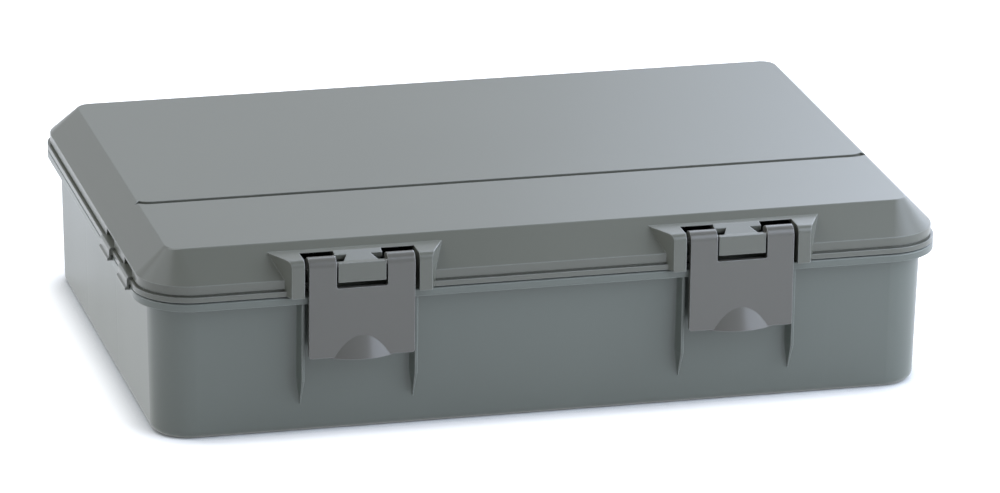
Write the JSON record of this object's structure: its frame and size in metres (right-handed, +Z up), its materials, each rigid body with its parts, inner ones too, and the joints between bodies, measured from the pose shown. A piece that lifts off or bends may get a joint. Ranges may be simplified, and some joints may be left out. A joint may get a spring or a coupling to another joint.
{
  "type": "rig case",
  "caption": "Shallow moulded case with a bevelled lid on rear hinges, swing latches at the front and lanes with loose dividers inside.",
  "frame": {"origin": "on the flat underside, in the middle of the tray below the middle of its rim", "axes": "+X from the left end to the right end, +Y from the latches to the hinges, +Z up"},
  "size_m": [0.3604, 0.2625, 0.0836],
  "materials": {
    "tray_plastic": "satin moulded polypropylene, neutral grey",
    "lid_plastic": "satin moulded polypropylene, neutral grey",
    "latch_plastic": "satin moulded plastic, neutral grey",
    "divider_plastic": "plain moulded polypropylene, darker grey",
    "pin_steel": "plain drawn steel wire"
  },
  "bodies": {
    "tray": {"base_tray": "tray_plastic", "divider_front_1": "divider_plastic", "divider_front_2": "divider_plastic", "divider_front_3": "divider_plastic", "divider_front_4": "divider_plastic", "divider_middle_1": "divider_plastic", "divider_middle_2": "divider_plastic", "divider_middle_3": "divider_plastic", "divider_middle_4": "divider_plastic", "divider_rear_1": "divider_plastic", "divider_rear_2": "divider_plastic", "divider_rear_3": "divider_plastic", "divider_rear_4": "divider_plastic", "hinge_pin_left": "pin_steel", "hinge_pin_right": "pin_steel"},
    "lid": {"lid": "lid_plastic"},
    "latch_left": {"latch_left": "latch_plastic", "latch_pin_left": "pin_steel"},
    "latch_right": {"latch_right": "latch_plastic", "latch_pin_right": "pin_steel"}
  },
  "joints": [
    {"name": "lid_hinge", "type": "hinge", "parent": "tray", "child": "lid", "pos_m": [0, 0.1266, 0.064], "axis": [-1, 0, 0], "range_deg": [0, 105]},
    {"name": "latch_left_swing", "type": "hinge", "parent": "lid", "child": "latch_left", "pos_m": [-0.084, -0.1213, 0.0766], "axis": [-1, 0, 0], "range_deg": [0, 170]},
    {"name": "latch_right_swing", "type": "hinge", "parent": "lid", "child": "latch_right", "pos_m": [0.084, -0.1213, 0.0766], "axis": [-1, 0, 0], "range_deg": [0, 170]}
  ]
}
